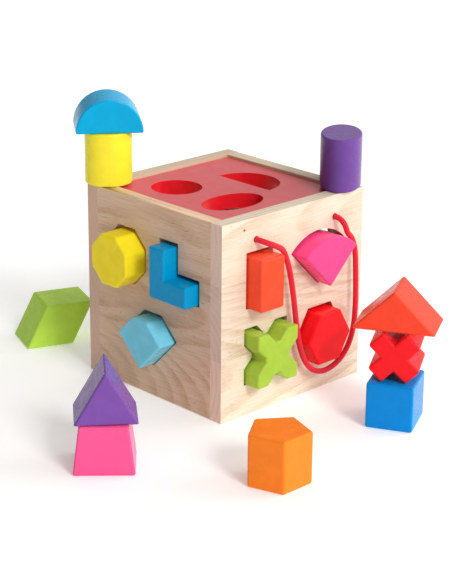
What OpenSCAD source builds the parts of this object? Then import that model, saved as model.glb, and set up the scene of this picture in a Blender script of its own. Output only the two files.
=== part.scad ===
// Wooden shape-sorting box with a hinged lid, a carrying cord and seventeen blocks.
// Origin: centre of the underside of the box. +Z up, -Y is the front with the cord.

/* [Box] */
// Outside width of the box, along X
box_w = 145; // [115:1:180]
// Outside depth of the box, along Y
box_d = 145; // [115:1:180]
// Height of the box to its rim
box_h = 148.5; // [122:0.5:185]
// Thickness of the four side boards
wall_t = 11.3; // [9:0.1:14]
// Thickness of the bottom board
base_t = 9; // [6:0.5:14]

/* [Lid] */
// Thickness of the lid board
lid_t = 11.3; // [9:0.1:13]
// Depth of the lid's face below the rim
lid_recess = 2; // [1:0.1:4]
// Gap round the lid's three free edges
lid_gap = 0.6; // [0.4:0.1:1.5]
// Distance from the hinge pins to the inside of the left board
hinge_inset = 10.4; // [9:0.1:14]
// Gap that the lid's round hinge edge keeps while it turns
swing_gap = 0.4; // [0.3:0.1:1]
// Width and height of the strip that the lid rests on
strip_size = 8; // [5:0.5:10]
// Gap between each end of the strip and the boards
strip_end_gap = 2; // [1:0.5:6]

/* [Hinge pins] */
// Diameter of a hinge pin
pin_d = 2.2; // [1.6:0.1:3]
// Length of a hinge pin
pin_len = 23; // [19:0.5:26]
// Depth of the pin's end below the outside of its board
pin_sink = 3; // [0.5:0.1:3]
// Running gap round a pin in the lid
pin_clearance = 0.05; // [0.02:0.01:0.1]

/* [Cord] */
// Diameter of the cord
cord_d = 4; // [3:0.5:4.5]
// Gap round the cord in its holes
cord_hole_gap = 0.5; // [0.3:0.1:1]
// Depth of the cord holes below the rim
cord_drop = 16.5; // [16:0.5:18]
// Diameter of the knots inside the box
knot_d = 9.2; // [7:0.2:9.4]

/* [Blocks] */
// Length of the cut blocks, from face to face
block_len = 38; // [32:1:46]
// Length of the two round bars
bar_len = 40; // [32:1:48]
// Gap between a block and its hole, all round
hole_gap = 1.5; // [0.8:0.1:2]
// Gap under a block that rests in a hole
rest_gap = 0.2; // [0.1:0.1:0.4]
// Octagon, across its flats
octagon_w = 39; // [32:1:40]
// Width and height of the L
l_w = 39; // [32:1:40]
// Width of the arms of the L
l_arm = 16.5; // [12:0.5:20]
// Side of the square that the house-like pentagon is cut from
kite_side = 33; // [28:1:34]
// Width of the flat top of that pentagon
kite_flat = 17.4; // [14:0.2:20]
// Width of the rectangle
rect_w = 23.4; // [18:0.2:24]
// Height of the rectangle
rect_h = 39.2; // [32:0.2:40]
// Radius of the fan
fan_r = 38; // [32:1:38.5]
// Side of the square that the X is cut from
x_w = 40.4; // [34:0.2:41]
// Length of the X's flat ends
x_end = 10.5; // [8:0.5:13]
// Depth of the X's notches
x_notch = 8; // [5:0.5:9]
// Width of the bottom of the X's notches
x_notch_flat = 4; // [2:0.5:6]
// Side of the hexagon
hexagon_side = 22.8; // [19:0.2:23]
// Diameter of the round bar
bar_d = 35.2; // [30:0.2:36]
// Radius of the half round
half_r = 25; // [21:0.5:25.5]
// Long width of the oval bar
oval_w = 50; // [42:1:51]
// Short width of the oval bar
oval_t = 30.8; // [26:0.2:32]
// Side of the rhombus
rhombus_side = 38.4; // [31:0.2:39]
// Sharp angle of the rhombus
rhombus_angle = 63; // [60:1:75]
// Side of the equal-sided triangle
triangle_side = 44.4; // [35:0.2:45]
// Bottom width of the trapezoid
trapezoid_w = 42.6; // [35:0.2:43]
// Top width of the trapezoid
trapezoid_top = 33.6; // [26:0.2:35]
// Height of the trapezoid
trapezoid_h = 35.6; // [30:0.2:38]
// Radius of the pentagon's corners
pentagon_r = 23.2; // [19:0.2:23.4]
// Side of the square block
square_side = 34.4; // [28:0.2:36]
// Overall length of the cross's arms
cross_len = 38.4; // [32:0.2:39]
// Width of the cross's arms
cross_arm = 14.1; // [11:0.1:16]
// Length of the two equal sides of the right-angled triangle
gable_leg = 43.2; // [34:0.2:44]

/* [Blocks in the side holes] */
// How far the octagon stands out
octagon_out = 18; // [12:0.5:20]
// How far the L stands out
l_out = 12; // [11:0.5:20]
// How far the house-like pentagon stands out
kite_out = 14; // [11:0.5:20]
// How much further the fan and the X reach in than the rectangle
front_step = 0.5; // [0:0.1:1]
// How much further the hexagon reaches in than the rectangle
hexagon_step = 2.5; // [0:0.5:4]
// Least gap between two blocks inside the box
inner_gap = 0.7; // [0.4:0.1:2]

/* [Hidden] */

$fn = 96;
eps = 1;                            // overrun of a cutting tool past a face

// Heights
lid_top = box_h - lid_recess;
lid_under = lid_top - lid_t;
pin_z = lid_top - lid_t / 2;
cord_z = box_h - cord_drop;

// Inside of the box
inner_x = box_w / 2 - wall_t;
inner_y = box_d / 2 - wall_t;

// Hinge
pin_x = -inner_x + hinge_inset;
nose_x = -inner_x + swing_gap + lid_t / 2;
pin_in = pin_len + pin_sink;        // depth of a pin's inner end below the outside

// Places of the holes in the side boards: two rows and two columns of square cells
cell = 43;                          // room that one block's hole takes
cord_web = 4.2;                     // wood between the cord holes and the upper cells
cells_top = cord_z - cord_d / 2 - cord_hole_gap - cord_web;
spare_h = cells_top - base_t - 2 * cell;
low_share = 0.48;                   // share of the spare height below the lower cells
row_low = base_t + low_share * spare_h + cell / 2;
row_high = cells_top - cell / 2;
col = 0.193 * box_w;                // columns of the front and back boards
col_side = 0.196 * box_d;           // columns of the left and right boards
rect_shift = [-7.3, -1.3];          // the rectangle's hole lies nearer the corner and lower
fan_shift = [-2.2, 1];              // the fan's hole lies nearer the middle and higher

// Places of the holes in the lid
round_x = -0.18 * box_w;
round_y = 0.172 * box_d;
oval_x = -0.145 * box_w;
oval_y = -0.204 * box_d;
half_x = 0.141 * box_w;

// The rectangle ends short of the L inside the box, and the other front blocks follow it
l_edge = col_side + l_w / 2;
rect_out = block_len - (box_d / 2 - l_edge - inner_gap);
fan_out = rect_out - front_step;
x_out = rect_out - front_step;
hexagon_out = rect_out - hexagon_step;
drop = hole_gap - rest_gap;         // how far a block lies below the middle of its hole

// Cord: ends inside the knots
cord_left_x = -39;
cord_right_x = 42;
knot_z = cord_z - 2;                // the knots hang a little below the holes
knot_bite = 0.6;                    // the board flattens a knot by this much
cord_sides = 8;
cord_route = [
    [-39, -58, 132], [-39, -66.5, 132], [-39, -74.5, 132], [-37.9, -79, 131.5],
    [-35, -82.3, 130], [-31, -83.5, 128], [-23.4, -82.3, 123.8], [-19.4, -81.1, 119.9],
    [-14, -80.2, 109], [-11.2, -80, 100], [-8.8, -80, 89], [-6.8, -80, 78],
    [-5, -80, 67], [-3.2, -80, 57], [-1.1, -80, 46.5], [2, -80.4, 37],
    [6.4, -80.8, 28.3], [12.8, -81.2, 21.5], [22.4, -81.5, 17.7], [33.4, -81.4, 18.2],
    [43.4, -81, 22.2], [50.4, -80.5, 28], [55.4, -80.2, 36], [58.3, -80, 45.5],
    [59.5, -79.8, 56], [59.7, -79.8, 67], [59.3, -79.8, 78], [58.9, -79.6, 89],
    [58.8, -79, 99], [57.7, -78.6, 106.8], [55.4, -78.8, 112.2], [52.2, -79.7, 116],
    [45.8, -82.1, 121.1], [43.8, -82.8, 124], [42.8, -82.2, 127.1], [42.3, -80.1, 129.8],
    [42, -76.9, 131.5], [42, -73.4, 132], [42, -65.5, 132], [42, -58, 132]];

// Turn of each side board about Z, with the front board as drawn
FRONT = 0;
LEFT = -90;
BACK = 180;
RIGHT = 90;

// ---------- points and outlines ----------

// Corner of a polygon moved out by g along both of its edges
function cut_corner(a, b, c, g) =
    let (u = (b - a) / norm(b - a), v = (c - b) / norm(c - b), s = u[0] * v[1] - u[1] * v[0])
    b + g * (u - v) / s;

// Polygon with every edge moved out by g; its points run anticlockwise
function grown(p, g) =
    [for (i = [0 : len(p) - 1])
        cut_corner(p[(i + len(p) - 1) % len(p)], p[i], p[(i + 1) % len(p)], g)];

function ring(n, r, start) =
    [for (i = [0 : n - 1], a = start + i * 360 / n) r * [cos(a), sin(a)]];

function box_points(w, h) = [[-w / 2, -h / 2], [w / 2, -h / 2], [w / 2, h / 2], [-w / 2, h / 2]];

octagon_points = ring(8, octagon_w / 2 / cos(22.5), 22.5);

l_points = [[-l_w / 2, -l_w / 2], [l_w / 2, -l_w / 2], [l_w / 2, -l_w / 2 + l_arm],
            [-l_w / 2 + l_arm, -l_w / 2 + l_arm], [-l_w / 2 + l_arm, l_w / 2], [-l_w / 2, l_w / 2]];

// A square on its corner with its top corner cut off, centred in height
kite_half = kite_side / sqrt(2);
kite_top = kite_half - kite_flat / 2;
kite_mid = (kite_half - kite_top) / 2;
kite_points = [[0, kite_mid - kite_half], [kite_half, kite_mid],
               [kite_flat / 2, kite_mid + kite_top], [-kite_flat / 2, kite_mid + kite_top],
               [-kite_half, kite_mid]];

// Square with a notch in each side
x_side = [[-x_w / 2, -x_w / 2], [-x_w / 2 + x_end, -x_w / 2],
          [-x_notch_flat / 2, -x_w / 2 + x_notch], [x_notch_flat / 2, -x_w / 2 + x_notch],
          [x_w / 2 - x_end, -x_w / 2]];
x_points = [for (i = [0 : 3], p = x_side)
    [p[0] * cos(90 * i) - p[1] * sin(90 * i), p[0] * sin(90 * i) + p[1] * cos(90 * i)]];

hexagon_points = ring(6, hexagon_side, 0);

// Fan with its corner down, centred in height
module fan_outline(g) {
    translate([0, -fan_r / 2])
        intersection() {
            circle(r = fan_r + g);
            translate([0, -g * sqrt(2)]) rotate(45) square(2 * fan_r);
        }
}

oval_points = [for (i = [0 : 71]) [oval_w / 2 * cos(5 * i), oval_t / 2 * sin(5 * i)]];

// Half round on its flat side
module half_round_outline(g) {
    intersection() {
        circle(r = half_r + g);
        translate([-2 * half_r, -g]) square([4 * half_r, 2 * half_r]);
    }
}

// Rhombus on one side; the others stand on their bottom edge too
rhombus_h = rhombus_side * sin(rhombus_angle);
rhombus_lean = rhombus_side * cos(rhombus_angle);
rhombus_points = [[-(rhombus_side + rhombus_lean) / 2, 0], [(rhombus_side - rhombus_lean) / 2, 0],
                  [(rhombus_side + rhombus_lean) / 2, rhombus_h],
                  [-(rhombus_side - rhombus_lean) / 2, rhombus_h]];

triangle_h = triangle_side * sin(60);
triangle_points = [[-triangle_side / 2, 0], [triangle_side / 2, 0], [0, triangle_h]];

trapezoid_points = [[-trapezoid_w / 2, 0], [trapezoid_w / 2, 0],
                    [trapezoid_top / 2, trapezoid_h], [-trapezoid_top / 2, trapezoid_h]];

pentagon_points = ring(5, pentagon_r, 90);

square_points = box_points(square_side, square_side);

// Upright cross
cross_a = cross_arm / 2;
cross_b = cross_len / 2;
cross_points = [[-cross_a, -cross_b], [cross_a, -cross_b], [cross_a, -cross_a],
                [cross_b, -cross_a], [cross_b, cross_a], [cross_a, cross_a],
                [cross_a, cross_b], [-cross_a, cross_b], [-cross_a, cross_a],
                [-cross_b, cross_a], [-cross_b, -cross_a], [-cross_a, -cross_a]];
cross_half = (cross_len + cross_arm) / 2 / sqrt(2);  // half its width when it stands on two arms

// Right-angled triangle with its right angle low and left, and its long side through the middle
gable_points = [[-gable_leg / 2, -gable_leg / 2], [gable_leg / 2, -gable_leg / 2],
                [-gable_leg / 2, gable_leg / 2]];

// ---------- places ----------

// Draws children, laid out in a board's own plane, on the outside of the board at [u, v]
module on_board(turn, u, v) {
    reach = (turn == FRONT || turn == BACK) ? box_d / 2 : box_w / 2;
    rotate([0, 0, turn]) translate([u, -reach, v]) rotate([90, 0, 0]) children();
}

// Cuts an outline through a board
module board_hole(turn, u, v) {
    on_board(turn, u, v)
        translate([0, 0, -wall_t - eps]) linear_extrude(wall_t + 2 * eps) children();
}

// A block that lies in its hole and stands out of the board
module block_in_hole(turn, u, v, out) {
    on_board(turn, u, v - drop)
        translate([0, 0, out - block_len]) linear_extrude(block_len) children();
}

// A block that stands on its long side, with the middle of its front edge at [x, y]
module standing_block(x, y, turn, z) {
    translate([x, y, z]) rotate([0, 0, turn]) rotate([90, 0, 0])
        translate([0, 0, -block_len]) linear_extrude(block_len) children();
}

// ---------- box ----------

wood = [0.93, 0.80, 0.63];

// A board across the front or back, as wide as the box
module wide_board() {
    translate([-box_w / 2, -box_d / 2, 0]) cube([box_w, wall_t, box_h]);
}

// A board between those two
module side_board() {
    translate([-box_w / 2, -inner_y, 0]) cube([wall_t, 2 * inner_y, box_h]);
}

module pin_holes() {
    for (side = [-1, 1])
        translate([pin_x, side * box_d / 2, pin_z]) rotate([side * 90, 0, 0])
            translate([0, 0, -eps]) cylinder(d = pin_d, h = wall_t + 2 * eps);
}

module cord_holes() {
    for (x = [cord_left_x, cord_right_x])
        translate([x, -inner_y + eps, cord_z]) rotate([90, 0, 0])
            cylinder(d = cord_d + 2 * cord_hole_gap, h = wall_t + 2 * eps);
}

module front_panel() {
    color(wood) difference() {
        wide_board();
        board_hole(FRONT, -col + rect_shift[0], row_high + rect_shift[1])
            polygon(grown(box_points(rect_w, rect_h), hole_gap));
        board_hole(FRONT, col + fan_shift[0], row_high + fan_shift[1]) fan_outline(hole_gap);
        board_hole(FRONT, -col, row_low) polygon(grown(x_points, hole_gap));
        board_hole(FRONT, col, row_low) polygon(grown(hexagon_points, hole_gap));
        cord_holes();
        pin_holes();
    }
}

module back_panel() {
    color(wood) difference() {
        rotate([0, 0, 180]) wide_board();
        board_hole(BACK, -col, row_high) polygon(grown(square_points, hole_gap));
        board_hole(BACK, col, row_high) polygon(grown(pentagon_points, hole_gap));
        board_hole(BACK, -col, row_low) polygon(grown(gable_points, hole_gap));
        board_hole(BACK, col, row_low) polygon(grown(cross_points, hole_gap));
        pin_holes();
    }
}

module left_panel() {
    color(wood) difference() {
        side_board();
        board_hole(LEFT, -col_side, row_high) polygon(grown(octagon_points, hole_gap));
        board_hole(LEFT, col_side, row_high) polygon(grown(l_points, hole_gap));
        board_hole(LEFT, 0, row_low) polygon(grown(kite_points, hole_gap));
    }
}

module right_panel() {
    color(wood) difference() {
        rotate([0, 0, 180]) side_board();
        board_hole(RIGHT, -col_side, row_high - trapezoid_h / 2)
            polygon(grown(trapezoid_points, hole_gap));
        board_hole(RIGHT, col_side, row_high - triangle_h / 2)
            polygon(grown(triangle_points, hole_gap));
        board_hole(RIGHT, 0, row_low - rhombus_h / 2)
            polygon(grown(rhombus_points, hole_gap));
    }
}

module base_panel() {
    color(wood) translate([-inner_x, -inner_y, 0]) cube([2 * inner_x, 2 * inner_y, base_t]);
}

// ---------- lid ----------

module lid() {
    right_x = inner_x - lid_gap;
    half_y = inner_y - lid_gap;
    color([0.85, 0.12, 0.16]) difference() {
        union() {
            translate([nose_x, -half_y, lid_under])
                cube([right_x - nose_x, 2 * half_y, lid_t]);
            translate([nose_x, half_y, pin_z]) rotate([90, 0, 0])
                cylinder(d = lid_t, h = 2 * half_y);
        }
        translate([0, 0, lid_under - eps]) {
            translate([round_x, round_y, 0])
                cylinder(d = bar_d + 2 * hole_gap, h = lid_t + 2 * eps);
            translate([oval_x, oval_y, 0])
                linear_extrude(lid_t + 2 * eps) polygon(grown(oval_points, hole_gap));
            translate([half_x, 0, 0]) rotate([0, 0, -90])
                linear_extrude(lid_t + 2 * eps) half_round_outline(hole_gap);
        }
        for (side = [-1, 1])
            translate([pin_x, side * (box_d / 2 - pin_in - eps), pin_z])
                rotate([-side * 90, 0, 0])
                    cylinder(d = pin_d + 2 * pin_clearance, h = pin_in);
    }
}

module lid_hinge_pins() {
    color("silver")
        for (side = [-1, 1])
            translate([pin_x, side * (box_d / 2 - pin_sink), pin_z]) rotate([side * 90, 0, 0])
                cylinder(d = pin_d, h = pin_len);
}

module lid_rest_strip() {
    length = 2 * (inner_y - strip_end_gap);
    color(wood) translate([inner_x - strip_size, -length / 2, lid_under - strip_size])
        cube([strip_size, length, strip_size]);
}

// ---------- cord ----------

function way(p, i) =
    let (d = p[min(i + 1, len(p) - 1)] - p[max(i - 1, 0)]) d / norm(d);

// A normal at each point of the route, carried along it without twist
function normals(p, i, n) =
    i == len(p) ? [] :
    let (t = way(p, i), m = n - (n * t) * t, u = m / norm(m))
    concat([u], normals(p, i + 1, u));

module tube(p, d, sides) {
    n = normals(p, 0, [0, 0, 1]);
    last = len(p) - 1;
    points = [for (i = [0 : last], k = [0 : sides - 1])
        let (a = 360 * k / sides, b = cross(way(p, i), n[i]))
        p[i] + d / 2 * (cos(a) * n[i] + sin(a) * b)];
    walls = [for (i = [0 : last - 1], k = [0 : sides - 1], half = [0, 1])
        let (a = i * sides + k, b = i * sides + (k + 1) % sides)
        half == 0 ? [a, a + sides, b + sides] : [a, b + sides, b]];
    near_end = [for (k = [0 : sides - 1]) k];
    far_end = [for (k = [sides - 1 : -1 : 0]) last * sides + k];
    polyhedron(points, concat(walls, [near_end, far_end]));
}

module carry_cord() {
    color([0.90, 0.07, 0.16]) tube(cord_route, cord_d, cord_sides);
}

module cord_knots() {
    color([0.90, 0.07, 0.16])
        for (x = [cord_left_x, cord_right_x])
            translate([x, -inner_y, knot_z]) rotate([-90, 0, 0])
                rotate_extrude($fn = 48) intersection() {
                    translate([0, knot_d / 2 - knot_bite]) circle(d = knot_d, $fn = 32);
                    square(knot_d);
                }
}

// ---------- blocks in the side holes ----------

module yellow_octagon_block() {
    color([0.98, 0.86, 0.10])
        block_in_hole(LEFT, -col_side, row_high, octagon_out) polygon(octagon_points);
}

module blue_l_block() {
    color([0.00, 0.58, 0.80])
        block_in_hole(LEFT, col_side, row_high, l_out) polygon(l_points);
}

module sky_pentagon_block() {
    color([0.45, 0.78, 0.90])
        block_in_hole(LEFT, 0, row_low, kite_out) polygon(kite_points);
}

module orange_rectangle_block() {
    color([0.98, 0.33, 0.18])
        block_in_hole(FRONT, -col + rect_shift[0], row_high + rect_shift[1], rect_out)
            polygon(box_points(rect_w, rect_h));
}

module pink_fan_block() {
    color([0.98, 0.28, 0.58])
        block_in_hole(FRONT, col + fan_shift[0], row_high + fan_shift[1], fan_out)
            fan_outline(0);
}

module green_x_block() {
    color([0.70, 0.84, 0.26])
        block_in_hole(FRONT, -col, row_low, x_out) polygon(x_points);
}

module red_hexagon_block() {
    color([0.98, 0.06, 0.12])
        block_in_hole(FRONT, col, row_low, hexagon_out) polygon(hexagon_points);
}

// ---------- blocks on the rim ----------

bar_x = -box_w / 2 + 14.9;
bar_y = box_d / 2 - 7.1;
stack_gap = 0.02;                   // gap under a block that stands on another

module yellow_round_block() {
    color([1.00, 0.90, 0.20])
        translate([bar_x, bar_y, box_h]) cylinder(d = bar_d, h = bar_len);
}

module blue_half_round_block() {
    color([0.00, 0.68, 0.87])
        standing_block(bar_x - 8.1, bar_y - 11.6, -36, box_h + bar_len + stack_gap)
            half_round_outline(0);
}

module purple_oval_block() {
    color([0.50, 0.33, 0.68])
        translate([box_w / 2 - 7.9, -box_d / 2 + 16.2, box_h]) rotate([0, 0, 40])
            linear_extrude(bar_len) polygon(oval_points);
}

// ---------- loose blocks round the box ----------

module green_rhombus_block() {
    color([0.45, 0.72, 0.22])
        standing_block(-box_w / 2 + 13.6, box_d / 2 + 53.6, -21, 0) polygon(rhombus_points);
}

stack_x = -box_w / 2 - 116;
stack_y = -box_d / 2 - 8.8;

module pink_trapezoid_block() {
    color([0.95, 0.36, 0.62])
        standing_block(stack_x, stack_y, -42, 0) polygon(trapezoid_points);
}

module purple_triangle_block() {
    color([0.48, 0.32, 0.66])
        standing_block(stack_x + 3, stack_y + 0.4, -38, trapezoid_h + stack_gap)
            polygon(triangle_points);
}

module orange_pentagon_block() {
    color([1.00, 0.58, 0.22])
        translate([-box_w / 2 - 35.2, -box_d / 2 - 92.4, 0])
            linear_extrude(block_len) polygon(pentagon_points);
}

// The tower stands clear of a block that is drawn right out of the front board
tower_gap = 1.04;
gable_turn = -60;
gable_shift = [5.6, 4];             // the top block stands this far off the bottom one
gable_reach = gable_leg / sqrt(2) * sin(-gable_turn) + block_len * cos(gable_turn);
tower_x = box_w / 2 - 65;
tower_y = -box_d / 2 - block_len - tower_gap - gable_reach - gable_shift[1];
cross_z = square_side + stack_gap;
gable_z = cross_z + 2 * cross_half + stack_gap;

module blue_square_block() {
    color([0.02, 0.54, 0.86])
        standing_block(tower_x, tower_y, -62, 0)
            translate([0, square_side / 2]) polygon(square_points);
}

module red_cross_block() {
    color([0.98, 0.12, 0.18])
        standing_block(tower_x + 4.5, tower_y + 1, -57, cross_z)
            translate([0, cross_half]) rotate(45) polygon(cross_points);
}

module red_gable_block() {
    color([1.00, 0.34, 0.20])
        standing_block(tower_x + gable_shift[0], tower_y + gable_shift[1], gable_turn, gable_z)
            rotate(-135) polygon(gable_points);
}

front_panel();
back_panel();
left_panel();
right_panel();
base_panel();
lid();
lid_hinge_pins();
lid_rest_strip();
carry_cord();
cord_knots();
yellow_octagon_block();
blue_l_block();
sky_pentagon_block();
orange_rectangle_block();
pink_fan_block();
green_x_block();
red_hexagon_block();
yellow_round_block();
blue_half_round_block();
purple_oval_block();
green_rhombus_block();
purple_triangle_block();
pink_trapezoid_block();
orange_pentagon_block();
blue_square_block();
red_cross_block();
red_gable_block();
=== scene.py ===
"""Looks of a wooden shape sorter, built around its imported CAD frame.

Metres, in the row frame: +Z up, -Y out of the front board, +X towards the lid's free edge.
"""

import math

import bmesh
import bpy
import numpy as np
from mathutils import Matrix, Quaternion, Vector


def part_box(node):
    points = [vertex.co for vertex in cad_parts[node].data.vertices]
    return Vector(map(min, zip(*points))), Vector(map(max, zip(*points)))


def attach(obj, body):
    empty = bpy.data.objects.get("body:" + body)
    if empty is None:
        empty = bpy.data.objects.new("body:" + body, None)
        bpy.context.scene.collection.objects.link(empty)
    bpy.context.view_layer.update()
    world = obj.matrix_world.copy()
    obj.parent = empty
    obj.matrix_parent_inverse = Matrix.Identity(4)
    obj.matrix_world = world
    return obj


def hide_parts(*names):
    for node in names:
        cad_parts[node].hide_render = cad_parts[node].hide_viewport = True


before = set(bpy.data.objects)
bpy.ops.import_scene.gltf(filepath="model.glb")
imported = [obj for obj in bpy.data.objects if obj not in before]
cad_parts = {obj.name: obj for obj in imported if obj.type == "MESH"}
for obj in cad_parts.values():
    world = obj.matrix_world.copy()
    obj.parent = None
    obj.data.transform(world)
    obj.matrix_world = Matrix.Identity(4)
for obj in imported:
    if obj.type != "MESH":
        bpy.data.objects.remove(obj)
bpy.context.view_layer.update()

# ---------- camera ----------

CAMERA_AZIMUTH = math.radians(-43.89)
CAMERA_ELEVATION = math.radians(19.37)
CAMERA_ROLL = math.radians(0.45)
CAMERA_DISTANCE = 1.3314
CAMERA_LENS = 108.4
CAMERA_SHIFT = (0.0026, -0.018)
CAMERA_CLIP = (0.05, 30)


def make_camera():
    """The camera looks at the middle axis of the box, half the box's width above the floor."""
    box_low, box_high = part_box("front_panel")
    target = Vector((0, 0, (box_high.x - box_low.x) / 2))
    flat = math.cos(CAMERA_ELEVATION)
    back = Vector((math.sin(CAMERA_AZIMUTH) * flat, -math.cos(CAMERA_AZIMUTH) * flat,
                   math.sin(CAMERA_ELEVATION)))
    data = bpy.data.cameras.new("camera")
    data.lens = CAMERA_LENS
    data.shift_x, data.shift_y = CAMERA_SHIFT
    data.clip_start, data.clip_end = CAMERA_CLIP
    camera = bpy.data.objects.new("camera", data)
    bpy.context.scene.collection.objects.link(camera)
    camera.location = target + back * CAMERA_DISTANCE
    camera.rotation_mode = "QUATERNION"
    camera.rotation_quaternion = (-back).to_track_quat("-Z", "Y") @ Quaternion((0, 0, 1), CAMERA_ROLL)
    bpy.context.scene.camera = camera


# ---------- meshes ----------

def new_piece(name, mesh, body):
    """Links a finished mesh, which rides on a body."""
    piece = bpy.data.objects.new(name, mesh)
    bpy.context.scene.collection.objects.link(piece)
    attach(piece, body)
    return piece


SPLINE_SAMPLES = 40         # fine points between two points of a route
START_ACROSS = (0.3, 0.2, 1.0)  # a way that no cord or knot sets out along


def smooth_line(points, step):
    """A centripetal Catmull-Rom curve through the points, resampled at about that step."""
    p = np.array(points, float)
    p = np.vstack([2 * p[0] - p[1], p, 2 * p[-1] - p[-2]])
    knots = np.concatenate([[0], np.cumsum(np.linalg.norm(np.diff(p, axis=0), axis=1) ** 0.5)])
    dense = []
    for i in range(1, len(p) - 2):
        t0, t1, t2, t3 = knots[i - 1:i + 3]
        t = np.linspace(t1, t2, SPLINE_SAMPLES, endpoint=False)[:, None]
        a1 = ((t1 - t) * p[i - 1] + (t - t0) * p[i]) / (t1 - t0)
        a2 = ((t2 - t) * p[i] + (t - t1) * p[i + 1]) / (t2 - t1)
        a3 = ((t3 - t) * p[i + 1] + (t - t2) * p[i + 2]) / (t3 - t2)
        b1 = ((t2 - t) * a1 + (t - t0) * a2) / (t2 - t0)
        b2 = ((t3 - t) * a2 + (t - t1) * a3) / (t3 - t1)
        dense.append(((t2 - t) * b1 + (t - t1) * b2) / (t2 - t1))
    dense = np.vstack([*dense, p[-2]])
    along = np.concatenate([[0], np.cumsum(np.linalg.norm(np.diff(dense, axis=0), axis=1))])
    at = np.linspace(0, along[-1], math.ceil(along[-1] / step) + 1)
    return np.stack([np.interp(at, along, dense[:, k]) for k in range(3)], axis=1)


def ring_axes(line):
    """Two unit vectors across the line at each point, carried along it without twist."""
    ways = np.gradient(line, axis=0)
    ways /= np.linalg.norm(ways, axis=1)[:, None]
    side = np.cross(ways[0], START_ACROSS)
    sides = []
    for way in ways:
        side = side - (side @ way) * way
        side /= np.linalg.norm(side)
        sides.append(side)
    sides = np.array(sides)
    return sides, np.cross(ways, sides)


# ---------- cord ----------

CORD_DIAMETER = 0.004
CORD_ROUTE = [
    (-0.039, -0.058, 0.132), (-0.039, -0.0665, 0.132), (-0.039, -0.0745, 0.132),
    (-0.0379, -0.079, 0.1315), (-0.035, -0.0823, 0.13), (-0.031, -0.0835, 0.128),
    (-0.0234, -0.0823, 0.1238), (-0.0194, -0.0811, 0.1199), (-0.014, -0.0802, 0.109),
    (-0.0112, -0.08, 0.1), (-0.0088, -0.08, 0.089), (-0.0068, -0.08, 0.078),
    (-0.005, -0.08, 0.067), (-0.0032, -0.08, 0.057), (-0.0011, -0.08, 0.0465),
    (0.002, -0.0804, 0.037), (0.0064, -0.0808, 0.0283), (0.0128, -0.0812, 0.0215),
    (0.0224, -0.0815, 0.0177), (0.0334, -0.0814, 0.0182), (0.0434, -0.081, 0.0222),
    (0.0504, -0.0805, 0.028), (0.0554, -0.0802, 0.036), (0.0583, -0.08, 0.0455),
    (0.0595, -0.0798, 0.056), (0.0597, -0.0798, 0.067), (0.0593, -0.0798, 0.078),
    (0.0589, -0.0796, 0.089), (0.0588, -0.079, 0.099), (0.0577, -0.0786, 0.1068),
    (0.0554, -0.0788, 0.1122), (0.0522, -0.0797, 0.116), (0.0458, -0.0821, 0.1211),
    (0.0438, -0.0828, 0.124), (0.0428, -0.0822, 0.1271), (0.0423, -0.0801, 0.1298),
    (0.042, -0.0769, 0.1315), (0.042, -0.0734, 0.132), (0.042, -0.0655, 0.132),
    (0.042, -0.058, 0.132)]

BRAID_CARRIERS = 8          # strands in each direction
BRAID_LAY = 0.0125          # length in which a strand goes once round
BRAID_DEPTH = 0.17          # height of a strand's crown, as a share of the radius
BRAID_WAVE = 0.08           # how far a strand rises over the one it crosses, as a share
CORD_RING_POINTS = 64
CORD_RING_STEP = 0.00026
END_CROWN = 0.3             # how far the cord's flat ends are from the painted shade towards full colour, from 0 to 1


def braid_height(angle, along, lay):
    """Height of a one-over-one braid's surface at an angle and a length, as a share of the radius."""
    turn = BRAID_CARRIERS * angle / (2 * math.pi)
    rise = BRAID_CARRIERS * along / lay
    heights = []
    for sign in (1, -1):
        across, other = turn + sign * rise, turn - sign * rise
        off_middle = 2 * (across - np.floor(across)) - 1
        crown = np.sqrt(np.maximum(0, 1 - off_middle ** 2))
        over = np.cos(math.pi * (other - 0.5 + np.floor(across)))
        heights.append(BRAID_DEPTH * crown + sign * BRAID_WAVE * over)
    return np.maximum(*heights) - BRAID_DEPTH


def braided_tube(name, line, radius, lay=BRAID_LAY):
    """A braided tube round a line, with flat ends; it keeps its strands' height as an attribute."""
    sides, ups = ring_axes(line)
    along = np.concatenate([[0], np.cumsum(np.linalg.norm(np.diff(line, axis=0), axis=1))])
    angle = np.arange(CORD_RING_POINTS) * 2 * math.pi / CORD_RING_POINTS
    height = braid_height(angle[None, :], along[:, None], lay)
    spread = (1 + height) * radius
    points = (line[:, None, :] + spread[:, :, None] * (
        np.cos(angle)[None, :, None] * sides[:, None, :] + np.sin(angle)[None, :, None] * ups[:, None, :]))
    rings, n = len(line), CORD_RING_POINTS
    middles = np.stack([line[0], line[-1]])
    verts = np.vstack([points.reshape(-1, 3), middles])
    faces = []
    for i in range(rings - 1):
        for k in range(n):
            a, b = i * n + k, i * n + (k + 1) % n
            faces.append((a, b, b + n, a + n))
    for k in range(n):
        a, b = k, (k + 1) % n
        faces.append((rings * n, b, a))
        faces.append((rings * n + 1, (rings - 1) * n + a, (rings - 1) * n + b))
    mesh = bpy.data.meshes.new(name)
    mesh.from_pydata(verts.tolist(), [], faces)
    crown = mesh.attributes.new("crown", "FLOAT", "POINT")
    low, high = height.min(), height.max()
    share = (height - low) / (high - low)
    crown.data.foreach_set("value", np.append(share.ravel(), [END_CROWN] * 2).astype(np.float32))
    mesh.shade_smooth()
    mesh.update()
    return mesh


def make_cord():
    """The cord, which runs out of one hole, hangs down and goes in at the other."""
    line = smooth_line(CORD_ROUTE, CORD_RING_STEP)
    cord = new_piece("braided_cord", braided_tube("braided_cord", line, CORD_DIAMETER / 2), "box")
    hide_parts("carry_cord")
    return cord


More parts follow.
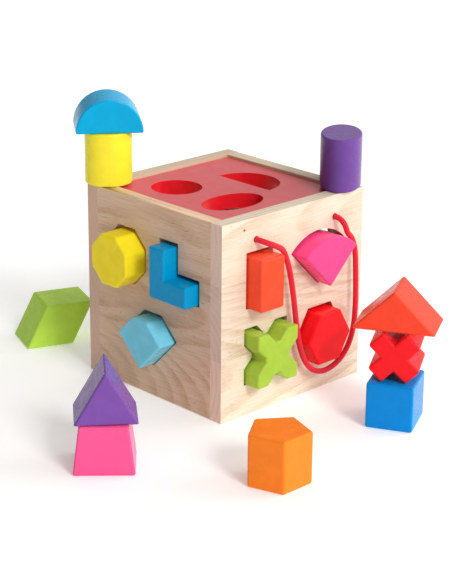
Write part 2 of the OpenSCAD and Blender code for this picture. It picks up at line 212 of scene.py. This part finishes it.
KNOT_STRAND = 0.0017        # radius of the cord where the knot squeezes it
KNOT_SIZE = 0.00085         # the knot is six times this across
KNOT_THICKNESS = 0.0019     # how far the strand swings to each side of the knot's middle
KNOT_START, KNOT_GAP = 0.15, 0.05   # angles left open at the two ends of the loop
KNOT_POINTS = 60
KNOT_LAY = 0.010
TAIL = 0.007
TAIL_START = 0.15           # where the tail's first point is, as a share of its length
TAIL_POINTS = 6
TAIL_LEAN = 0.35            # how far the tail runs on along the loop, as a share of its length


def knot_line(middle, inward):
    """An overhand knot's path round a middle, flat against the board behind it, with a short tail."""
    t = np.linspace(KNOT_START, 2 * math.pi - KNOT_GAP, KNOT_POINTS)
    loop = np.stack([np.sin(t) + 2 * np.sin(2 * t), np.zeros_like(t), np.cos(t) - 2 * np.cos(2 * t)], axis=1)
    loop = KNOT_SIZE * loop
    loop[:, 1] = -KNOT_THICKNESS * np.sin(3 * t)
    end, way = loop[-1], loop[-1] - loop[-2]
    way = way / np.linalg.norm(way)
    reach = np.linspace(TAIL_START, 1, TAIL_POINTS)[:, None] * TAIL
    tail = end + way * reach * TAIL_LEAN + np.array(inward, float) * reach
    return np.vstack([loop, tail]) + np.array(middle, float)


def make_knots():
    """The two knots inside the front board, as one piece."""
    low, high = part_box("cord_knots")
    radius = (high.z - low.z) / 2
    bm = bmesh.new()
    for x in (low.x + radius, high.x - radius):
        middle = (x, (low.y + high.y) / 2, (low.z + high.z) / 2)
        line = smooth_line(knot_line(middle, (0, 1, 0)), 2 * CORD_RING_STEP)
        mesh = braided_tube("knot", line, KNOT_STRAND, KNOT_LAY)
        bm.from_mesh(mesh)
        bpy.data.meshes.remove(mesh)
    mesh = bpy.data.meshes.new("cord_knots_tied")
    bm.to_mesh(mesh)
    bm.free()
    mesh.shade_smooth()
    knots = new_piece("cord_knots_tied", mesh, "box")
    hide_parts("cord_knots")
    return knots


# ---------- boards and blocks ----------

SHARP = math.radians(25)    # above this an edge is rounded
FLAT = math.radians(0.5)    # below this two faces count as one
CREASE = math.radians(55)   # above this an edge looks sharp
WELD = 1e-6                 # points this close are one
NEAR = 1e-5                 # an edge this close to a plane lies in it
EDGE_SEGMENTS = 3           # facets across a rounded edge
BLOCK_ROUND = 0.0017        # worn edges of a block
BAR_ROUND = 0.0014          # and of the round and oval bars
INNER_ROUND = 0.0004        # inside corners of the X and the cross
BOARD_ROUND = 0.0009        # outer edges of the box
HOLE_ROUND = 0.0005         # edges of the holes and of the rim's inside
PIN_ROUND = 0.0002          # ends of the hinge pins


def rounded_mesh(sharp, width):
    """The mesh with its weighted edges rounded; edges that stay sharp also stay sharp in its shading."""
    form = bpy.data.objects.new("form", sharp)
    bpy.context.scene.collection.objects.link(form)
    if width:
        bevel = form.modifiers.new("round_edges", "BEVEL")
        bevel.limit_method = "WEIGHT"
        bevel.width = width
        bevel.segments = EDGE_SEGMENTS
    mesh = bpy.data.meshes.new_from_object(form.evaluated_get(bpy.context.evaluated_depsgraph_get()))
    bpy.data.objects.remove(form)
    bpy.data.meshes.remove(sharp)
    mesh.shade_smooth()
    mesh.set_sharp_from_angle(angle=CREASE)
    return mesh


def rounded_piece(name, node, body, radius_of):
    """A piece with the CAD node's own shape and rounded edges; radius_of(edge) is in metres."""
    bm = bmesh.new()
    bm.from_mesh(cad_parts[node].data)
    bmesh.ops.remove_doubles(bm, verts=bm.verts, dist=WELD)
    bmesh.ops.dissolve_limit(bm, angle_limit=FLAT, verts=bm.verts, edges=bm.edges)
    radii = [radius_of(e) if e.calc_face_angle() > SHARP else 0 for e in bm.edges]
    largest = max(radii)
    weight = bm.edges.layers.float.new("bevel_weight_edge")
    for edge, radius in zip(bm.edges, radii):
        edge[weight] = radius / largest if radius else 0
    sharp = bpy.data.meshes.new("sharp")
    bm.to_mesh(sharp)
    bm.free()
    mesh = rounded_mesh(sharp, largest)
    mesh.name = name
    piece = new_piece(name, mesh, body)
    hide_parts(node)
    even = piece.modifiers.new("even_normals", "WEIGHTED_NORMAL")
    even.mode = "FACE_AREA"
    even.keep_sharp = True
    return piece


def everywhere(radius, inside=0):
    """A radius for every outside corner, and one for every inside corner."""
    return lambda edge: radius if edge.is_convex else inside


def of_board(between):
    """Radii for a board of the box, with glued joints closed. Boards that sit between two others say so."""
    low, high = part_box("front_panel")[0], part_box("back_panel")[1]
    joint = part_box("back_panel")[0].y

    def radius_of(edge):
        middle = (edge.verts[0].co + edge.verts[1].co) / 2
        outside = [min(abs(middle[k] - low[k]), abs(middle[k] - high[k])) < NEAR for k in range(3)]
        if sum(outside) >= 2:
            return BOARD_ROUND
        if abs(abs(middle.y) - joint) < NEAR and (between or not outside[2]):
            return 0
        return HOLE_ROUND if any(outside) else 0

    return radius_of


# ---------- materials ----------

MM_PER_M = 1000             # the patterns are in millimetres


class Nodes:
    """A material's node tree, built by short calls. Values and sockets can be mixed as inputs."""

    def __init__(self, name):
        self.material = bpy.data.materials.new(name)
        self.material.use_nodes = True
        self.tree = self.material.node_tree
        self.tree.nodes.clear()

    def add(self, kind, output=0, inputs=None, **settings):
        node = self.tree.nodes.new("ShaderNode" + kind)
        for key, value in settings.items():
            setattr(node, key, value)
        for key, value in (inputs or {}).items():
            if isinstance(value, bpy.types.NodeSocket):
                self.tree.links.new(value, node.inputs[key])
            elif value is not None:
                node.inputs[key].default_value = value
        return node.outputs[output]

    def math(self, operation, a, b=None, c=None, clamp=False):
        return self.add("Math", 0, {0: a, 1: b, 2: c}, operation=operation, use_clamp=clamp)

    def vector(self, operation, a, b=None, output=0, scale=None):
        inputs = {0: a, 1: b}
        if scale is not None:
            inputs["Scale"] = scale
        return self.add("VectorMath", output, inputs, operation=operation)

    def noise(self, vector, scale, detail=2.0, roughness=0.5):
        return self.add("TexNoise", "Fac", {"Vector": vector, "Scale": scale, "Detail": detail,
                                            "Roughness": roughness})

    def smooth(self, value, low, high, to_low=0.0, to_high=1.0):
        return self.add("MapRange", 0, {"Value": value, "From Min": low, "From Max": high,
                                        "To Min": to_low, "To Max": to_high},
                        interpolation_type="SMOOTHSTEP")

    def blend(self, share, a, b):
        """Two colours, blended by a share."""
        node = self.tree.nodes.new("ShaderNodeMix")
        node.data_type = "RGBA"
        for key, value in ((0, share), (6, a), (7, b)):
            if isinstance(value, bpy.types.NodeSocket):
                self.tree.links.new(value, node.inputs[key])
            else:
                node.inputs[key].default_value = value
        return node.outputs[2]

    def place(self):
        """Where the point is in the object, in millimetres."""
        return self.vector("SCALE", self.add("TexCoord", "Object"), scale=MM_PER_M)

    def facing(self, way):
        """How far the surface faces a way, from -1 to 1."""
        return self.vector("DOT_PRODUCT", self.add("TexCoord", "Normal"), way, output=1)

    def along(self, place, axis, squeeze):
        """The place with its part along an axis made smaller, so that a pattern is drawn out along it."""
        part = self.vector("DOT_PRODUCT", place, axis, output=1)
        change = self.math("MULTIPLY", part, squeeze - 1)
        return self.vector("ADD", place, self.vector("SCALE", axis, scale=change))

    def finish(self, color, roughness, bumps, **sockets):
        """Principled surface; bumps are (height, distance in metres) pairs, and sockets are set directly."""
        normal = None
        for height, distance in bumps:
            normal = self.add("Bump", 0, {"Height": height, "Strength": 1.0, "Distance": distance,
                                          "Normal": normal})
        inputs = {"Base Color": color, "Roughness": roughness, "Normal": normal}
        inputs.update({key.replace("_", " "): value for key, value in sockets.items()})
        surface = self.add("BsdfPrincipled", 0, inputs)
        end = self.tree.nodes.new("ShaderNodeOutputMaterial")
        self.tree.links.new(surface, end.inputs["Surface"])
        return self.material


def rgb(red, green, blue):
    return (red, green, blue, 1.0)


STAVE_HEIGHT = 56           # each board is glued up from three staves
STAVE_START = -9            # where the lowest stave of an upright board begins
SEAM_WIDTH = 0.25           # of the line between two staves
RING_SPACING = 4.6
RING_DEPTH = (30, 45)       # the rings' middle is this far behind the face, and up to as much again
TILT = 0.5                  # how far the rings' middle may run out of the board, per unit of length
WANDER = 11                 # how far the rings wave, from one side to the other
WANDER_SCALE = 0.018        # a ring's waves are about one over this long, and twice that along the grain
WANDER_SQUEEZE = 0.5        # a squeeze below 1 draws a pattern out along the grain
FIBRE_SQUEEZE, FIBRE_SCALE = 0.03, 1.3
VESSEL_SQUEEZE, VESSEL_SCALE = 0.11, 1.9
PATCH_SQUEEZE, PATCH_SCALE = 0.3, 0.06      # patches where the figure is faint or strong
STAVE_SHIFT = 900.0         # how far apart two staves are cut from the pattern, at most
LATE_WOOD = (0.15, 0.86)    # where in a ring the dark wood starts and is darkest
RING_SHARE = (0.16, 0.62)   # how dark the rings are in faint and in strong patches
FIBRE_SHARE = (-0.12, 0.34)  # how dark the fibres are, from the palest to the darkest
FLECK_RANGE = (0.60, 0.72)  # only the darkest vessels show as flecks
FLECK_PATCH = (0.25, 1.0)   # how strong the flecks are in faint and in strong patches
FLECK_SHARE = 0.55          # how dark the flecks are
SEAM_SHARE = 0.35           # how dark the line between two staves is
STAVE_TONES = (0.90, 1.04)  # from the darkest stave to the palest
WOOD_ROUGHNESS = (0.42, 0.58)
FIBRE_DEPTH = 0.00006       # depth of the wood's fibres and vessels, in metres
VESSEL_DEPTH = 0.00005

WOOD_LIGHT = (0.82, 0.69, 0.545)
WOOD_DARK = (0.59, 0.385, 0.23)
WOOD_FLECK = (0.40, 0.22, 0.12)
END_TONE = (0.98, 0.84, 0.86)
END_CALM = 0.35             # how much fainter the figure is on end grain
END_TURN = (0.55, 0.95)     # a surface that faces along the grain by this much is end grain


def wood(name, grain, across, face, seed, tone, figure):
    """Lacquered rubberwood: growth rings round a line behind the face, vessel flecks and fine fibres.

    grain and across are unit vectors, face is how far the board's face is from the origin, in mm. Each stave,
    counted along across, has rings of its own.
    """
    n = Nodes(name)
    place = n.place()
    length, height, depth = (n.vector("DOT_PRODUCT", place, tuple(way), output=1)
                             for way in (grain, across, Vector(grain).cross(Vector(across))))
    staves = n.math("DIVIDE", n.math("SUBTRACT", height, STAVE_START), STAVE_HEIGHT)
    stave = n.math("FLOOR", staves)
    own = n.add("TexWhiteNoise", "Color", {"W": n.math("ADD", stave, seed)}, noise_dimensions="1D")
    own_a, own_b, own_c = (n.add("SeparateXYZ", k, {0: own}) for k in range(3))
    moved = n.vector("ADD", place, n.vector("SCALE", own, scale=STAVE_SHIFT))

    # growth rings
    slow = n.vector("SCALE", n.along(moved, grain, WANDER_SQUEEZE), scale=WANDER_SCALE)
    wander_a = n.math("SUBTRACT", n.noise(slow, 1.0), 0.5)
    wander_b = n.math("SUBTRACT", n.noise(n.vector("ADD", slow, (7, 3, 5)), 1.0), 0.5)
    in_stave = n.math("MULTIPLY", n.math("SUBTRACT", n.math("FRACT", staves), own_a), STAVE_HEIGHT)
    off_middle = n.math("MULTIPLY_ADD", wander_a, WANDER, in_stave)
    run_out = n.math("MULTIPLY", n.math("MULTIPLY", n.math("SUBTRACT", own_b, 0.5), TILT), length)
    behind = n.math("ADD", n.math("SUBTRACT", depth, face), n.math("MULTIPLY_ADD", own_c, *RING_DEPTH[::-1]))
    behind = n.math("MULTIPLY_ADD", wander_b, WANDER, n.math("ADD", behind, run_out))
    radius = n.math("SQRT", n.math("ADD", n.math("MULTIPLY", off_middle, off_middle),
                                   n.math("MULTIPLY", behind, behind)))
    ring = n.math("FRACT", n.math("DIVIDE", radius, RING_SPACING))
    late = n.math("SUBTRACT", n.smooth(ring, *LATE_WOOD), n.smooth(ring, LATE_WOOD[1], 1.0))

    # fibres and vessels, drawn out along the grain
    fibre = n.noise(n.along(moved, grain, FIBRE_SQUEEZE), FIBRE_SCALE, 3.0, 0.6)
    patch = n.noise(n.vector("SCALE", n.along(moved, grain, PATCH_SQUEEZE), scale=PATCH_SCALE), 1.0)
    vessel = n.noise(n.along(moved, grain, VESSEL_SQUEEZE), VESSEL_SCALE, 1.0, 0.4)
    fleck = n.math("MULTIPLY", n.smooth(vessel, *FLECK_RANGE), n.smooth(patch, 0.35, 0.65, *FLECK_PATCH))

    end = n.smooth(n.math("ABSOLUTE", n.facing(grain)), *END_TURN)
    calm = n.math("MULTIPLY_ADD", end, -END_CALM, figure)
    dark = n.math("MULTIPLY", late, n.smooth(patch, 0.3, 0.7, *RING_SHARE))
    dark = n.math("ADD", dark, n.smooth(fibre, 0.3, 0.75, *FIBRE_SHARE))
    dark = n.math("MULTIPLY", dark, calm, clamp=True)
    color = n.blend(dark, rgb(*WOOD_LIGHT), rgb(*WOOD_DARK))
    color = n.blend(n.math("MULTIPLY", fleck, n.math("MULTIPLY", calm, FLECK_SHARE)), color, rgb(*WOOD_FLECK))
    seam = n.math("MULTIPLY", n.math("ABSOLUTE", n.math("SUBTRACT", staves, n.math("ROUND", staves))),
                  STAVE_HEIGHT)
    color = n.blend(n.smooth(seam, 0, SEAM_WIDTH, SEAM_SHARE, 0), color, rgb(*WOOD_DARK))
    stave_tone = n.smooth(own_c, 0, 1, *STAVE_TONES)
    color = n.vector("MULTIPLY", n.vector("SCALE", color, scale=stave_tone), tone)
    color = n.blend(end, color, n.vector("MULTIPLY", color, END_TONE))

    roughness = n.smooth(fibre, 0.2, 0.8, *WOOD_ROUGHNESS)
    return n.finish(color, roughness, [(fibre, FIBRE_DEPTH), (vessel, VESSEL_DEPTH)])


SHOW_THROUGH = 0.00003      # depth of the wood's fibres under the paint, in metres
PEEL_DEPTH = 0.000012       # and of the paint's own orange peel
BLOCK_ROUGHNESS = 0.25
BLOCK_SHINE = 0.11
SEED_SHIFT = Vector((31, 17, 7))    # each piece is painted from another place in the patterns
CLOUD_SCALE = 0.09
CLOUD_TONES = (0.955, 1.03)
GRAIN_SQUEEZE, GRAIN_SCALE = 0.06, 0.9
GRAIN_TONES = (1.02, 0.97)
PEEL_SCALE = 1.1
GLOSS_SPREAD = (-0.05, 0.07)        # the roughness varies between these, round its own value


def paint(name, color, grain, seed, roughness=BLOCK_ROUGHNESS, inside=None, shine=BLOCK_SHINE):
    """Sprayed gloss paint over wood: an even colour, a faint orange peel and the grain just showing through.

    inside, where given, is a deeper colour for upright walls; the paler colour then left on level faces is a
    painted sheen.
    """
    n = Nodes(name)
    place = n.place()
    place = n.vector("ADD", place, tuple(seed * SEED_SHIFT))
    cloud = n.noise(place, CLOUD_SCALE, 3.0, 0.55)
    grained = n.along(place, tuple(grain), GRAIN_SQUEEZE)
    fibre = n.noise(grained, GRAIN_SCALE, 3.0, 0.6)
    peel = n.noise(place, PEEL_SCALE, 1.0, 0.4)
    shade = n.math("MULTIPLY", n.smooth(cloud, 0.25, 0.75, *CLOUD_TONES),
                   n.smooth(fibre, 0.25, 0.75, *GRAIN_TONES))
    if inside:
        # level faces take color, which carries a painted sheen; upright walls take the deeper inside colour
        painted_sheen_share = n.smooth(n.math("ABSOLUTE", n.facing((0, 0, 1))), 0.2, 0.8)
        color = n.blend(painted_sheen_share, rgb(*inside), rgb(*color))
    tinted = n.vector("SCALE", color, scale=shade)
    mixed = n.math("ADD", cloud, n.math("MULTIPLY", fibre, 0.5))
    gloss = n.smooth(mixed, 0.5, 1.0, *(roughness + change for change in GLOSS_SPREAD))
    return n.finish(tinted, gloss, [(fibre, SHOW_THROUGH), (peel, PEEL_DEPTH)], Specular_IOR_Level=shine)


BRAID_ROUGHNESS = 0.62
BRAID_SHEEN = 0.12
YARN_DEPTH = 0.00004        # depth of the yarns in a strand, in metres
YARN_SCALE = 5
YARN_TONES = (0.88, 1.08)
CROWN_RANGE = (0.45, 0.97)  # from the painted shade between the strands to their own full colour


def braid(name, color, gap_shade):
    """Braided polyester: painted shade between the strands, with fine yarns and a soft sheen."""
    n = Nodes(name)
    crown = n.add("Attribute", "Fac", attribute_name="crown")
    place = n.place()
    yarn = n.noise(place, YARN_SCALE, 2.0, 0.6)
    # the dark between the strands is painted shade
    tinted = n.blend(n.smooth(crown, *CROWN_RANGE), rgb(*gap_shade), rgb(*color))
    tinted = n.vector("SCALE", tinted, scale=n.smooth(yarn, 0.3, 0.7, *YARN_TONES))
    return n.finish(tinted, BRAID_ROUGHNESS, [(yarn, YARN_DEPTH)], Sheen_Weight=BRAID_SHEEN,
                    Sheen_Roughness=0.4, Specular_IOR_Level=0.2)


WIRE_DARK = (0.42, 0.42, 0.43)
WIRE_PALE = (0.64, 0.64, 0.65)
WIRE_ROUGHNESS = (0.25, 0.42)
SCRATCH_DEPTH = 0.00001


def steel(name):
    """Bright drawn wire with fine scratches."""
    n = Nodes(name)
    place = n.place()
    scratch = n.noise(n.along(place, (0, 1, 0), 0.05), 6.0, 2.0, 0.6)
    tinted = n.blend(scratch, rgb(*WIRE_DARK), rgb(*WIRE_PALE))
    roughness = n.smooth(scratch, 0.2, 0.8, *WIRE_ROUGHNESS)
    return n.finish(tinted, roughness, [(scratch, SCRATCH_DEPTH)], Metallic=1.0)


# ---------- stage ----------

# each light: name, way towards it, strength, width in degrees
LIGHTS = [
    ("key", (-0.13, -0.80, 0.60), 1.6, 18),
    ("side", (0.80, -0.50, 0.40), 0.85, 40)]
SKY_BRIGHT = 0.80           # the sky's strength towards the right and the front
SKY_DIM = 0.07              # and on the other side
SKY_WAY = (0.75, -0.55, 0.35)   # the way to its brightest side
SKY_TURN = 0.7              # the sky changes over this much of the cosine to that way, on both sides
LIGHT_COLOR = (1.0, 0.985, 0.96)
SKY_COLOR = (1.0, 0.99, 0.975)
FLOOR_COLOR = (1.0, 0.997, 0.99)
FLOOR_ROUGHNESS = 0.7
FLOOR_SIZE = 12
FLOOR_TONE = 0.965
FLOOR_MOTTLE = 0.005        # the floor's tone varies by this much
FLOOR_GLOW = 0.20           # the floor is lit from below, like a photographer's table


def make_stage():
    """A pale floor, a pale sky that is brighter on the right, and two large soft lights."""
    scene = bpy.context.scene
    scene.view_settings.view_transform = "Standard"
    world = bpy.data.worlds.new("studio")
    world.use_nodes = True
    tree = world.node_tree
    place = tree.nodes.new("ShaderNodeTexCoord")
    facing = tree.nodes.new("ShaderNodeVectorMath")
    facing.operation = "DOT_PRODUCT"
    facing.inputs[1].default_value = Vector(SKY_WAY).normalized()
    ramp = tree.nodes.new("ShaderNodeMapRange")
    ramp.interpolation_type = "SMOOTHSTEP"
    ramp_ends = {"From Min": -SKY_TURN, "From Max": SKY_TURN, "To Min": SKY_DIM, "To Max": SKY_BRIGHT}
    for key, value in ramp_ends.items():
        ramp.inputs[key].default_value = value
    background = tree.nodes["Background"]
    background.inputs["Color"].default_value = rgb(*SKY_COLOR)
    tree.links.new(place.outputs["Generated"], facing.inputs[0])
    tree.links.new(facing.outputs["Value"], ramp.inputs["Value"])
    tree.links.new(ramp.outputs["Result"], background.inputs["Strength"])
    scene.world = world
    for name, way, strength, width in LIGHTS:
        light = bpy.data.lights.new(name, "SUN")
        light.energy = strength
        light.angle = math.radians(width)
        light.color = LIGHT_COLOR
        lamp = bpy.data.objects.new(name, light)
        lamp.rotation_mode = "QUATERNION"
        lamp.rotation_quaternion = Vector(way).to_track_quat("Z", "Y")
        scene.collection.objects.link(lamp)
    mesh = bpy.data.meshes.new("floor")
    half = FLOOR_SIZE / 2
    corners = [(-half, -half, 0), (half, -half, 0), (half, half, 0), (-half, half, 0)]
    mesh.from_pydata(corners, [], [(0, 1, 2, 3)])
    floor = bpy.data.objects.new("floor", mesh)
    scene.collection.objects.link(floor)
    n = Nodes("floor")
    place = n.place()
    speck = n.noise(place, 0.5, 2.0, 0.5)
    tone = n.smooth(speck, 0.3, 0.7, FLOOR_TONE - FLOOR_MOTTLE, FLOOR_TONE + FLOOR_MOTTLE)
    color = n.vector("SCALE", FLOOR_COLOR, scale=tone)
    mesh.materials.append(n.finish(color, FLOOR_ROUGHNESS, [], Emission_Color=rgb(1, 1, 1),
                                   Emission_Strength=FLOOR_GLOW))


# ---------- the object ----------

X, Y, Z = Vector((1, 0, 0)), Vector((0, 1, 0)), Vector((0, 0, 1))


def level(degrees):
    """A level unit vector that starts along +Y and is turned about Z."""
    turn = math.radians(degrees)
    return Vector((-math.sin(turn), math.cos(turn), 0))


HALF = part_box("back_panel")[1].y * MM_PER_M     # from the box's middle to its outer faces

# name of the piece and its node, grain, across, the face's place in mm, seed, tone, figure
BOARDS = [
    ("front_board", "front_panel", X, Z, HALF, 3, (1.02, 1.045, 1.06), 0.9),
    ("back_board", "back_panel", X, Z, -HALF, 11, (0.92, 0.84, 0.78), 0.6),
    # the left board's darker tone is partly the wood's own and partly painted shade for the box's shaded side
    ("left_board", "left_panel", Y, Z, -HALF, 23, (0.90, 0.755, 0.675), 1.1),
    ("right_board", "right_panel", Y, Z, HALF, 31, (0.98, 0.93, 0.89), 0.6),
    ("bottom_board", "base_panel", X, Y, 0, 47, (0.96, 0.95, 0.93), 0.9),
    ("lid_rest", "lid_rest_strip", Y, Z, 60, 59, (0.98, 0.96, 0.94), 0.8)]

# node, slot, colour, the way its length runs, radius of its edges
BLOCKS = [
    ("yellow_octagon_block", "paint_yellow", (0.98, 0.78, 0.02), X, BLOCK_ROUND),
    ("blue_l_block", "paint_blue", (0.0, 0.33, 0.66), X, BLOCK_ROUND),
    ("sky_pentagon_block", "paint_sky", (0.20, 0.66, 0.86), X, BLOCK_ROUND),
    ("orange_rectangle_block", "paint_orange_red", (0.98, 0.085, 0.035), Y, BLOCK_ROUND),
    ("pink_fan_block", "paint_magenta", (0.98, 0.07, 0.27), Y, BLOCK_ROUND),
    ("green_x_block", "paint_lime", (0.39, 0.60, 0.06), Y, BLOCK_ROUND),
    ("red_hexagon_block", "paint_red", (0.95, 0.006, 0.012), Y, BLOCK_ROUND),
    ("yellow_round_block", "paint_yellow", (0.99, 0.84, 0.04), Z, BAR_ROUND),
    ("blue_half_round_block", "paint_blue", (0.0, 0.40, 0.72), level(-36), BLOCK_ROUND),
    ("purple_oval_block", "paint_purple", (0.16, 0.065, 0.31), Z, BAR_ROUND),
    ("green_rhombus_block", "paint_green", (0.52, 0.82, 0.09), level(-21), BLOCK_ROUND),
    ("purple_triangle_block", "paint_purple", (0.20, 0.08, 0.38), level(-38), BLOCK_ROUND),
    ("pink_trapezoid_block", "paint_pink", (0.95, 0.10, 0.30), level(-42), BLOCK_ROUND),
    ("orange_pentagon_block", "paint_orange", (1.0, 0.24, 0.02), Z, BLOCK_ROUND),
    ("blue_square_block", "paint_azure", (0.0, 0.26, 0.74), level(-62), BLOCK_ROUND),
    ("red_cross_block", "paint_red", (0.95, 0.012, 0.02), level(-57), BLOCK_ROUND),
    ("red_gable_block", "paint_orange_red", (0.98, 0.07, 0.03), level(-60), BLOCK_ROUND)]

# the lid's level faces: a paler red that stands in for sheen, so partly painted sheen
LID_PAINTED_SHEEN_RED = (0.70, 0.078, 0.092)
LID_HOLE_RED = (0.90, 0.008, 0.02)
LID_SEED = 5
LID_ROUGHNESS = 0.36
LID_SHINE = 0.6
CORD_RED = (1.0, 0.03, 0.065)
CORD_GAP_SHADE = (0.42, 0.0, 0.012)      # painted shade between the strands


def make_box():
    """The boards, the strip under the lid, the lid and its pins."""
    edges = {"front_panel": of_board(False), "back_panel": of_board(False), "left_panel": of_board(True),
             "right_panel": of_board(True), "base_panel": everywhere(0),
             "lid_rest_strip": everywhere(HOLE_ROUND)}
    for name, node, grain, across, face, seed, tone, figure in BOARDS:
        board = rounded_piece(name, node, "box", edges[node])
        board.data.materials.append(wood(name, grain, across, face, seed, tone, figure))
    lid = rounded_piece("lid_board", "lid", "lid", everywhere(BOARD_ROUND))
    lid.data.materials.append(paint("lid_paint", LID_PAINTED_SHEEN_RED, Y, LID_SEED, LID_ROUGHNESS, LID_HOLE_RED,
                                    LID_SHINE))
    pins = rounded_piece("hinge_pins", "lid_hinge_pins", "box", everywhere(PIN_ROUND))
    pins.data.materials.append(steel("pin_wire"))


def make_blocks():
    """The seventeen blocks, each on a body of its own."""
    for seed, (node, slot, color, grain, radius) in enumerate(BLOCKS):
        block = rounded_piece(node.replace("_block", ""), node, node, everywhere(radius, INNER_ROUND))
        block.data.materials.append(paint(node, color, grain, seed))


make_camera()
knots = make_knots()
for piece in (make_cord(), knots):
    piece.data.materials.append(braid(piece.name, CORD_RED, CORD_GAP_SHADE))
make_box()
make_blocks()
make_stage()
